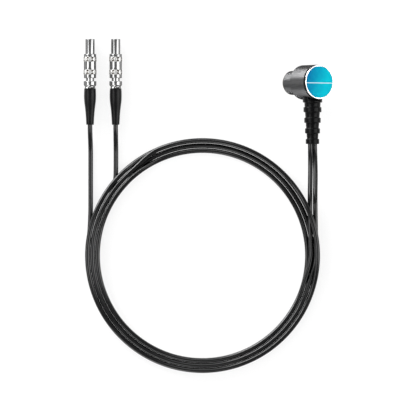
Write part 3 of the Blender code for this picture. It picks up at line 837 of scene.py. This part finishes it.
@dataclass
class Head:
    """The probe head: case, back cap, label, strain relief and the stack inside."""

    case_steps: int = 160
    length: float = 23.8 * MM
    case_radius: float = 8.6 * MM
    case_bore: float = 7.4 * MM
    case_edge: float = 0.35 * MM
    step_edge: float = 0.25 * MM
    body_edge: float = 0.5 * MM
    bore_edge: float = 0.1 * MM
    nose_radius: float = 6.0 * MM
    nose_bore: float = 5.1 * MM
    nose_length: float = 9.8 * MM
    nose_edge: float = 0.5 * MM
    shoulder: float = 1.4 * MM
    cap_radius: float = 8.5 * MM
    rim_height: float = 0.9 * MM
    rim_gap: float = 0.5 * MM
    rim_edge: float = 0.3 * MM
    sharp_edge: float = 0.08 * MM
    cap_floor: float = 0.8 * MM
    cap_clearance: float = 0.3 * MM
    # Painted groove shade: how far down the case it reaches, and how much of the rim's top it leaves
    # bright.
    case_shade_band: float = 0.42 * MM
    bright_rim_band: float = 0.24 * MM
    recess_radius: float = 8.0 * MM
    label_radius: float = 7.85 * MM
    label_thickness: float = 0.35 * MM
    label_gap: float = 0.1 * MM
    label_edge: float = 0.1 * MM
    label_edge_drop: float = 0.06 * MM
    label_flat_share: float = 0.6
    label_flat_drop: float = 0.01 * MM
    relief_steps: int = 96
    relief_length: float = 30.68 * MM
    relief_end_radius: float = 2.62 * MM
    relief_taper: float = 0.07
    collar_end: float = 10.1 * MM
    first_rib: float = 12.4 * MM
    rib_count: int = 4
    rib_length: float = 2.5 * MM
    rib_rise: float = 0.66 * MM
    rib_rounding: float = 0.28 * MM
    seat_gap: float = 0.03 * MM

    def build(self) -> None:
        """Build the head's pieces in order."""
        self.build_case()
        self.build_cap()
        self.build_label()
        self.build_relief()
        self.dress_stack()

    def build_case(self) -> None:
        """Turn the case with its nose and its step."""
        top = self.length - self.rim_height - self.rim_gap
        outline = rounded(
            [
                (self.nose_bore, 0.0, self.bore_edge),
                (self.nose_radius, 0.0, self.nose_edge),
                (self.nose_radius, self.nose_length, self.step_edge),
                (self.case_radius, self.nose_length, self.body_edge),
                (self.case_radius, top, self.case_edge),
                (self.case_bore, top, self.bore_edge),
                (self.case_bore, self.nose_length + self.shoulder),
                (self.nose_bore, self.nose_length + self.shoulder),
            ],
            closed=True,
        )
        steel = TurnedMetal("case_steel", (0.13, 0.13, 0.132), 0.42, spread=0.9, edge_tint=0.1).make(HEAD)
        piece = turned("turned_case", outline, self.case_steps, HEAD)
        deliver(piece, steel, PROBE_BODY, "head_case", "head_case")
        # The case's outside next to the cap gets painted shade, the shadow of the groove.
        self.paint_groove_shade(piece, "groove_shade_case", self.case_bore, top - self.case_shade_band, math.inf)

    def build_cap(self) -> None:
        """Turn the back cap with its bright rim and the recess for the label."""
        floor = self.length - self.label_thickness - self.label_gap
        base = self.length - self.rim_height
        spigot = self.case_bore - self.cap_clearance
        outline = rounded(
            [
                (0.0, floor - self.cap_floor),
                (spigot, floor - self.cap_floor),
                (spigot, base),
                (self.cap_radius, base, self.sharp_edge),
                (self.cap_radius, self.length, self.rim_edge),
                (self.recess_radius, self.length, self.sharp_edge),
                (self.recess_radius, floor),
                (0.0, floor),
            ]
        )
        bright = TurnedMetal("rim_metal", (0.86, 0.86, 0.86), 0.22, ring_depth=0.001 * MM).make(HEAD)
        piece = turned("rim_cap", outline, self.case_steps, HEAD)
        deliver(piece, bright, PROBE_BODY, "bright_cap", "back_cap")
        # The rim's outside below its top band gets painted shade, the shadow of the groove.
        dark_from, bright_from = base - self.bore_edge, self.length - self.bright_rim_band
        self.paint_groove_shade(piece, "groove_shade_cap", self.recess_radius, dark_from, bright_from)

    def paint_groove_shade(self, piece: Piece, name: str, inside: float, low: float, high: float) -> None:
        """Paint shade on the outer faces between two heights of a turned piece: a near-black finish that
        stands in for the shadow in the groove between the case and the cap.

        Args:
            piece: a finished piece of the head.
            name: the painted shade's material name.
            inside: the radius within which faces stay as they are.
            low: where the dark begins, along the head's axis.
            high: where it ends.
        """
        # Near-black metal, painted in as the shade of the groove between case and cap.
        dark = Mottled(name, (0.008, 0.008, 0.009), (0.025, 0.025, 0.026), 0.6, 1.0)
        piece.data.materials.append(dark.make())
        back = HEAD.inverted()
        for face in piece.data.polygons:
            place = back @ face.center
            if low < place.z < high and place.to_2d().length > inside + self.bore_edge:
                face.material_index = 1

    def build_label(self) -> None:
        """Lay the round label, slightly crowned, in its recess."""
        floor = self.length - self.label_thickness
        outline = rounded(
            [
                (0.0, floor),
                (self.label_radius, floor),
                (self.label_radius, self.length - self.label_edge_drop, self.label_edge),
                (self.label_radius * self.label_flat_share, self.length - self.label_flat_drop),
                (0.0, self.length),
            ]
        )
        piece = turned("label_plate", outline, self.case_steps, HEAD)
        deliver(piece, LabelPrint().make(HEAD), PROBE_BODY, "label", "label_disc")

    def relief_core(self, distance: float) -> float:
        """Return the relief's radius between its ribs at a distance from the head's axis."""
        return self.relief_end_radius + (self.relief_length - distance) * self.relief_taper

    def relief_outline(self) -> Corners:
        """Return the relief's corners: a collar at the case, then evenly spaced ribs."""
        edge = self.rib_rounding
        collar = self.relief_core(self.case_radius) + self.rib_rise
        outline: Corners = [
            (0.0, self.case_bore),
            (collar, self.case_bore),
            (collar, self.collar_end, edge),
            (self.relief_core(self.collar_end), self.collar_end, edge),
        ]
        last_rib = self.relief_length - self.rib_length
        for rib in range(self.rib_count):
            front = self.first_rib + (last_rib - self.first_rib) * rib / (self.rib_count - 1)
            back = front + self.rib_length
            crown = self.relief_core((front + back) / 2) + self.rib_rise
            outline += [(self.relief_core(front), front, edge), (crown, front, edge), (crown, back, edge)]
            if back < self.relief_length - edge:
                outline.append((self.relief_core(back), back, edge))
        return [*outline, (0.0, self.relief_length)]

    def build_relief(self) -> None:
        """Turn the ribbed relief and cut its saddle to the case."""
        axis = HEAD @ Matrix.Translation((0.0, 0.0, RELIEF_HEIGHT)) @ Matrix.Rotation(math.pi / 2, 4, "X")
        piece = turned("ribbed_relief", rounded(self.relief_outline()), self.relief_steps, axis)
        reach = self.case_radius + self.seat_gap
        far = 2 * self.length
        seat = rounded([(0.0, -self.length), (reach, -self.length), (reach, far), (0.0, far)])
        cut_away(piece, turned("saddle", seat, self.case_steps, HEAD))
        rubber = SoftBlack("relief_rubber", (0.0015, 0.0015, 0.0017), 0.26, gloss=0.1).make()
        deliver(piece, rubber, PROBE_BODY, "black_rubber", "strain_relief")

    def dress_stack(self) -> None:
        """Give the stack in the nose and the parts on the board their finishes."""
        cork = Mottled("cork_sheet", (0.22, 0.11, 0.05), (0.55, 0.36, 0.2), 0.9, spot_size=0.5 * MM)
        board = Mottled("board_green", (0.01, 0.12, 0.05), (0.03, 0.2, 0.09), 0.4, spot_size=1.5 * MM)
        amber = Mottled("lapped_amber", (0.6, 0.46, 0.2), (0.78, 0.64, 0.36), 0.25, spot_size=3.0 * MM)
        twins = {
            "delay_block": amber,
            "crystal": Mottled("fired_ceramic", (0.5, 0.44, 0.32), (0.66, 0.59, 0.45), 0.45),
            "backing": Mottled("damping_resin", (0.03, 0.03, 0.035), (0.09, 0.09, 0.1), 0.75),
            "tuning_coil": Mottled("enamelled_wire", (0.35, 0.13, 0.04), (0.62, 0.28, 0.1), 0.35, 0.8),
        }
        dress_node("acoustic_barrier", cork.make())
        dress_node("terminal_board", board.make())
        for name, finish in twins.items():
            material = finish.make()
            for role in ("transmit", "receive"):
                dress_node(f"{role}_{name}", material)


@dataclass
class PlugPattern:
    """The turned pieces of a push-pull plug, modelled once, with the tip at local zero and +Z ahead."""

    steps: int = 96
    shell_radius: float = 2.25 * MM
    shell_bore: float = 1.8 * MM
    bore_taper: float = 1.0 * MM
    nose_edge: float = 0.18 * MM
    neck_radius: float = 1.98 * MM
    neck_wall: float = 0.4 * MM
    shell_length: float = 22.4 * MM
    sleeve_front: float = 7.5 * MM
    sleeve_back: float = 19.5 * MM
    sleeve_radius: float = 3.03 * MM
    sleeve_lip: float = 0.6 * MM
    run_gap: float = 0.1 * MM
    fine_edge: float = 0.05 * MM
    sharp_edge: float = 0.08 * MM
    sleeve_edge: float = 0.25 * MM
    grip_radius: float = 3.27 * MM
    grip_barrel: float = 0.07 * MM
    grip_edge: float = 0.1 * MM
    barrel_share: float = 0.35
    crown_margin: float = 0.03 * MM
    grip_length: float = 2.3 * MM
    grip_starts: Pair = (8.95 * MM, 15.4 * MM)
    dimple_count: int = 8
    dimple_rows: Pair = (0.22, 0.78)
    dimple_depth: float = 0.33 * MM
    dimple_ball: float = 0.75 * MM
    dimple_reach: float = 1.01
    nut_front: float = 21.05 * MM
    nut_back: float = 24.5 * MM
    nut_radius: float = 3.12 * MM
    nut_edge: float = 0.2 * MM
    nut_taper_edge: float = 0.15 * MM
    nut_wall: float = 0.5 * MM
    nut_seat_gap: float = 0.2 * MM
    groove_radius: float = 2.5 * MM
    groove_length: float = 0.3 * MM
    flare_radius: float = 2.65 * MM
    flare_length: float = 0.55 * MM
    boot_front: float = 24.6 * MM
    boot_back: float = 42.8 * MM
    boot_start_radius: float = 2.88 * MM
    boot_end_radius: float = 1.88 * MM
    boot_edge: float = 0.25 * MM
    boot_end_edge: float = 0.3 * MM
    boot_radii: tuple[float, ...] = (2.98, 3.03, 2.99, 2.88, 2.68, 2.46, 2.28, 2.12, 1.99)
    boot_distances: tuple[float, ...] = (1.6, 3.6, 5.2, 6.8, 8.4, 10.0, 11.8, 13.8, 16.0)

    def pieces(self) -> dict[str, Piece]:
        """Return the plug's turned pieces by name."""
        return {
            "front_shell": self.turn_shell(),
            "grip_sleeve": self.turn_sleeve(),
            "rear_nut": self.turn_nut(),
            "boot": self.turn_boot(),
        }

    def lathe(self, name: str, outline: Corners, closed: bool) -> Piece:
        """Turn a piece from corners given by radius and distance back from the tip."""
        corners = [(place[0], -place[1], *place[2:]) for place in outline]
        return turned(name, rounded(corners, closed), self.steps, Matrix.Identity(4))

    def turn_shell(self) -> Piece:
        """Turn the inner shell, with its nose and its slimmer neck."""
        shoulder = self.sleeve_back - self.sleeve_lip - self.run_gap
        neck_bore = self.neck_radius - self.neck_wall
        outline = [
            (self.shell_bore, 0.0, self.sharp_edge),
            (self.shell_radius, 0.0, self.nose_edge),
            (self.shell_radius, shoulder),
            (self.neck_radius, shoulder),
            (self.neck_radius, self.shell_length),
            (neck_bore, self.shell_length),
            (neck_bore, shoulder),
            (self.shell_bore, shoulder - self.bore_taper),
        ]
        return self.lathe("front_shell", outline, True)

    def grip_corners(self, start: float) -> Corners:
        """Return the raised band of one grip, slightly barrelled."""
        end = start + self.grip_length
        edge = self.grip_radius - self.grip_barrel
        rise = self.grip_length * self.barrel_share
        return [
            (self.sleeve_radius, start, self.fine_edge),
            (edge, start, self.grip_edge),
            (self.grip_radius, start + rise),
            (self.grip_radius, end - rise),
            (edge, end, self.grip_edge),
            (self.sleeve_radius, end, self.fine_edge),
        ]

    def turn_sleeve(self) -> Piece:
        """Turn the release sleeve and press the dimples of its two bands."""
        front_bore = self.shell_radius + self.run_gap
        back_bore = self.neck_radius + self.run_gap
        lip = self.sleeve_back - self.sleeve_lip
        outline: Corners = [(self.sleeve_radius, self.sleeve_front, self.sleeve_edge)]
        for start in self.grip_starts:
            outline += self.grip_corners(start)
        outline += [
            (self.sleeve_radius, self.sleeve_back, self.sleeve_edge),
            (back_bore, self.sleeve_back, self.sharp_edge),
            (back_bore, lip),
            (front_bore, lip),
            (front_bore, self.sleeve_front, self.sharp_edge),
        ]
        sleeve = self.lathe("grip_sleeve", outline, True)
        cut_away(sleeve, self.dimple_punch())
        return sleeve

    def ball_ring(self) -> tuple[float, list[float]]:
        """Return how far from the axis the pressing balls stand, and the distance back of each row."""
        reach = self.grip_radius + self.dimple_ball - self.dimple_depth
        shares = self.dimple_rows
        return reach, [start + self.grip_length * share for start in self.grip_starts for share in shares]

    def dimple_punch(self) -> Piece:
        """Set out the balls that press the dimples: one ball, spun into a row, and the row repeated."""
        reach, rows = self.ball_ring()
        turn = math.pi / self.dimple_count
        place = (reach * math.cos(turn), reach * math.sin(turn), -rows[0])
        deselect_all()
        bpy.ops.mesh.primitive_ico_sphere_add(subdivisions=3, radius=self.dimple_ball, location=place)
        punch = bpy.context.object
        bpy.ops.object.transform_apply(location=True, rotation=True, scale=True)
        bpy.ops.object.mode_set(mode="EDIT")
        bpy.ops.mesh.select_all(action="SELECT")
        bpy.ops.mesh.spin(
            steps=self.dimple_count - 1,
            dupli=True,
            angle=2 * math.pi * (1 - 1 / self.dimple_count),
            center=(0.0, 0.0, 0.0),
            axis=(0.0, 0.0, 1.0),
        )
        bpy.ops.mesh.select_all(action="SELECT")
        for row, following in zip(rows, rows[1:]):
            bpy.ops.mesh.duplicate_move(TRANSFORM_OT_translate={"value": (0.0, 0.0, row - following)})
        bpy.ops.object.mode_set(mode="OBJECT")
        return punch

    def turn_nut(self) -> Piece:
        """Turn the rear nut, with its groove and its flare against the boot."""
        groove_back = self.nut_back - self.flare_length
        groove_front = groove_back - self.groove_length
        taper = self.nut_radius - self.groove_radius
        seat = self.shell_length + self.nut_seat_gap
        bore = self.neck_radius + self.run_gap
        back_bore = self.groove_radius - self.nut_wall
        outline = [
            (bore, self.nut_front, self.sharp_edge),
            (self.nut_radius, self.nut_front, self.nut_edge),
            (self.nut_radius, groove_front - taper, self.nut_taper_edge),
            (self.groove_radius, groove_front, self.fine_edge),
            (self.groove_radius, groove_back, self.fine_edge),
            (self.flare_radius, self.nut_back),
            (back_bore, self.nut_back),
            (back_bore, seat),
            (bore, seat),
        ]
        return self.lathe("rear_nut", outline, True)

    def turn_boot(self) -> Piece:
        """Turn the boot: full at the front, waisted, slender at the end."""
        stations = zip(self.boot_radii, self.boot_distances)
        outline = [
            (0.0, self.boot_front),
            (self.boot_start_radius, self.boot_front, self.boot_edge),
            *((radius * MM, self.boot_front + distance * MM) for radius, distance in stations),
            (self.boot_end_radius, self.boot_back, self.boot_end_edge),
            (0.0, self.boot_back),
        ]
        return self.lathe("boot", outline, False)

    def in_dimple(self, place: Vector) -> bool:
        """Tell whether a place on the sleeve lies on one of the pressing balls."""
        reach, rows = self.ball_ring()
        pitch = 2 * math.pi / self.dimple_count
        nearest = (math.floor(math.atan2(place.y, place.x) / pitch) + 0.5) * pitch
        row = min(rows, key=lambda distance: abs(distance + place.z))
        ball = Vector((reach * math.cos(nearest), reach * math.sin(nearest), -row))
        return (place - ball).length < self.dimple_ball * self.dimple_reach

    def on_grip(self, place: Vector) -> bool:
        """Tell whether a place on the sleeve lies on the crown of a grip band."""
        proud = place.to_2d().length > self.grip_radius - self.grip_barrel - self.crown_margin
        return proud and any(start < -place.z < start + self.grip_length for start in self.grip_starts)


@dataclass
class Plug:
    """One push-pull plug on its lead, made of copies of the pattern's pieces."""

    side: str
    pattern: PlugPattern
    masters: dict[str, Piece]

    def __post_init__(self) -> None:
        """Read the plug's place from the frame."""
        low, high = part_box(f"{self.side}_plug_shell")
        place = ((low.x + high.x) / 2, high.y, (low.z + high.z) / 2)
        self.axis = Matrix.Translation(place) @ Matrix.Rotation(-math.pi / 2, 4, "X")

    def copied(self, name: str) -> Piece:
        """Return a copy of one of the pattern's pieces in its place, with its own mesh."""
        piece = self.masters[name].copy()
        piece.data = self.masters[name].data.copy()
        piece.name = piece.data.name = f"{self.side}_{name}"
        bpy.context.scene.collection.objects.link(piece)
        settle(piece, self.axis)
        return piece

    def build(self, finishes: dict[str, Material]) -> None:
        """Place the plug's pieces from tip to boot."""
        side = self.side
        name = f"{side}_nickel"
        nickel = TurnedMetal(name, (0.3, 0.3, 0.3), 0.14, ring_depth=0.0008 * MM, edge_tint=0.0)
        bright = nickel.make(self.axis)
        deliver(self.copied("front_shell"), bright, PROBE_BODY, "plug_nickel", f"{side}_plug_shell")
        sleeve = self.copied("grip_sleeve")
        deliver(sleeve, bright, f"{side}_sleeve", "plug_nickel", f"{side}_release_sleeve")
        self.dress_grips(sleeve, finishes["grip"], finishes["dimple"])
        deliver(self.copied("rear_nut"), bright, PROBE_BODY, "plug_nickel", f"{side}_collet_nut")
        boot = self.copied("boot")
        deliver(boot, finishes["boot"], PROBE_BODY, "boot_rubber", f"{side}_bend_relief_boot")
        dress_node(f"{side}_plug_insulator", finishes["insulator"])
        dress_node(f"{side}_contact_pin", finishes["gold"])
        dress_node(f"{side}_cable_collet", finishes["gold"])

    def dress_grips(self, sleeve: Piece, satin: Material, dimple_shade: Material) -> None:
        """Give the grip bands their satin finish, and the dimples a painted shade."""
        sleeve.data.materials.append(satin)
        sleeve.data.materials.append(dimple_shade)
        back = self.axis.inverted()
        for face in sleeve.data.polygons:
            place = back @ face.center
            # Faces on the dimples get the painted shade.
            if self.pattern.in_dimple(place):
                face.material_index = 2
            elif self.pattern.on_grip(place):
                face.material_index = 1

    def piece_names(self) -> list[str]:
        """Return the names of all that is on this plug's lead."""
        made = [f"{self.side}_{name}" for name in self.masters]
        kept = [f"{self.side}_{name}" for name in ("plug_insulator", "contact_pin", "cable_collet")]
        return made + kept


@dataclass(frozen=True)
class Softbox:
    """A patch of light in the studio's sky, in degrees: where it hangs, how wide and how bright."""

    azimuth: float
    half_width: float
    zenith_low: float
    zenith_high: float
    level: float
    soft: float = 6.0


@dataclass
class Studio:
    """The table, the light and the camera over it."""

    view_middle: Pair = (-49.70 * MM, -51.395 * MM)
    view_width: float = 208.0 * MM
    camera_height: float = 2.4
    sensor: float = 36.0
    table_side: float = 6.0
    table_colour: float = 0.95
    table_glow: float = 0.8
    fill: float = 0.33
    softboxes: tuple[Softbox, ...] = (
        Softbox(0.0, 14.0, 28.0, 74.0, 3.8),
        Softbox(180.0, 11.0, 28.0, 55.0, 3.9),
        Softbox(130.0, 20.0, 68.0, 88.0, 17.0, 10.0),
        Softbox(-118.0, 16.0, 66.0, 86.0, 5.0, 10.0),
        Softbox(90.0, 14.0, 34.0, 56.0, 3.2),
        Softbox(-90.0, 16.0, 36.0, 56.0, 1.4),
    )

    def build(self) -> None:
        """Set the whole studio up."""
        self.build_camera()
        self.build_table()
        self.build_sky()
        bpy.context.scene.view_settings.view_transform = "Standard"

    def build_camera(self) -> None:
        """Hang the camera straight over the middle of the view."""
        data = bpy.data.cameras.new("camera")
        data.sensor_width = self.sensor
        data.lens = self.sensor * self.camera_height / self.view_width
        camera = bpy.data.objects.new("camera", data)
        camera.location = (*self.view_middle, self.camera_height)
        bpy.context.scene.collection.objects.link(camera)
        bpy.context.scene.camera = camera

    def build_table(self) -> None:
        """Lay the white table."""
        deselect_all()
        bpy.ops.mesh.primitive_plane_add(size=self.table_side, location=(0.0, 0.0, 0.0))
        table = bpy.context.object
        table.name = "table"
        bench = Bench("table_white", (self.table_colour,) * 3, 0.0, 1.0)
        bench.set("Specular IOR Level", 0.0)
        ray = bench.add("LightPath").outputs
        seen = bench.math("MAXIMUM", ray["Is Camera Ray"], ray["Is Glossy Ray"])
        seen = bench.math("MAXIMUM", seen, ray["Is Transmission Ray"])
        glow = bench.add("Emission", Strength=1.0).outputs["Emission"]
        mix = bench.add("MixShader", Fac=bench.math("MULTIPLY", seen, self.table_glow))
        bench.link(bench.shader.outputs["BSDF"], mix.inputs[1])
        bench.link(glow, mix.inputs[2])
        bench.link(mix.outputs["Shader"], bench.nodes["Material Output"].inputs["Surface"])
        table.data.materials.append(bench.material)

    def build_sky(self) -> None:
        """Hang the soft boxes in a dim sky."""
        world = bpy.data.worlds.new("studio")
        bpy.context.scene.world = world
        world.use_nodes = True
        tree = NodeDesk(world.node_tree)
        direction = tree.add("TexCoord").outputs["Generated"]
        height = tree.add("SeparateXYZ", Vector=direction).outputs["Z"]
        flat = tree.add("VectorMath", operation="MULTIPLY", I0=direction, I1=(1.0, 1.0, 0.0)).outputs[0]
        heading = tree.add("VectorMath", operation="NORMALIZE", I0=flat).outputs[0]
        light: Socket | float = self.fill
        for box in self.softboxes:
            turn = math.radians(box.azimuth)
            aim = (math.cos(turn), math.sin(turn), 0.0)
            facing = tree.add("VectorMath", operation="DOT_PRODUCT", I0=heading, I1=aim).outputs["Value"]
            inside = tree.step(facing, box.half_width + box.soft, box.half_width)
            below = tree.step(height, box.zenith_high + box.soft, box.zenith_high)
            above = tree.step(height, box.zenith_low, box.zenith_low - box.soft)
            window = tree.math("MULTIPLY", below, tree.math("SUBTRACT", 1.0, above))
            patch = tree.math("MULTIPLY", window, inside)
            light = tree.math("ADD", light, tree.math("MULTIPLY", patch, box.level))
        background = tree.nodes["Background"]
        background.inputs["Color"].default_value = (1.0, 1.0, 1.0, 1.0)
        tree.link(light, background.inputs["Strength"])


def main() -> None:
    """Build the probe and its studio."""
    logging.basicConfig(level=logging.INFO, format="%(name)s: %(message)s")
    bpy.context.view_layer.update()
    Head().build()
    pattern = PlugPattern()
    masters = pattern.pieces()
    plugs = {side: Plug(side, pattern, masters) for side in ("left", "right")}
    satin = Mottled("satin_nickel", (0.6, 0.6, 0.59), (0.72, 0.72, 0.71), 0.42, 1.0, grain_size=0.06 * MM)
    finishes = {
        "grip": satin.make(),
        # Dark nickel in the dimples: painted shade in the hollows.
        "dimple": Mottled("dimple_shade_nickel", (0.07, 0.064, 0.058), (0.15, 0.138, 0.126), 0.45, 1.0).make(),
        "boot": SoftBlack("boot_rubber", (0.002, 0.002, 0.0022), 0.3, gloss=0.17).make(),
        "insulator": Mottled("white_plastic", (0.74, 0.73, 0.69), (0.82, 0.81, 0.77), 0.45).make(),
        "gold": Mottled("contact_gold", (0.7, 0.5, 0.2), (0.83, 0.63, 0.28), 0.28, 1.0).make(),
    }
    for plug in plugs.values():
        plug.build(finishes)
    jacket = SoftBlack("lead_jacket", (0.0015, 0.0015, 0.0017), 0.2, gloss=0.42, grain_depth=0.0002 * MM)
    LeadSet().build(jacket.make(), plugs)
    for master in masters.values():
        bpy.data.objects.remove(master)
    Studio().build()


if __name__ == "__main__":
    main()
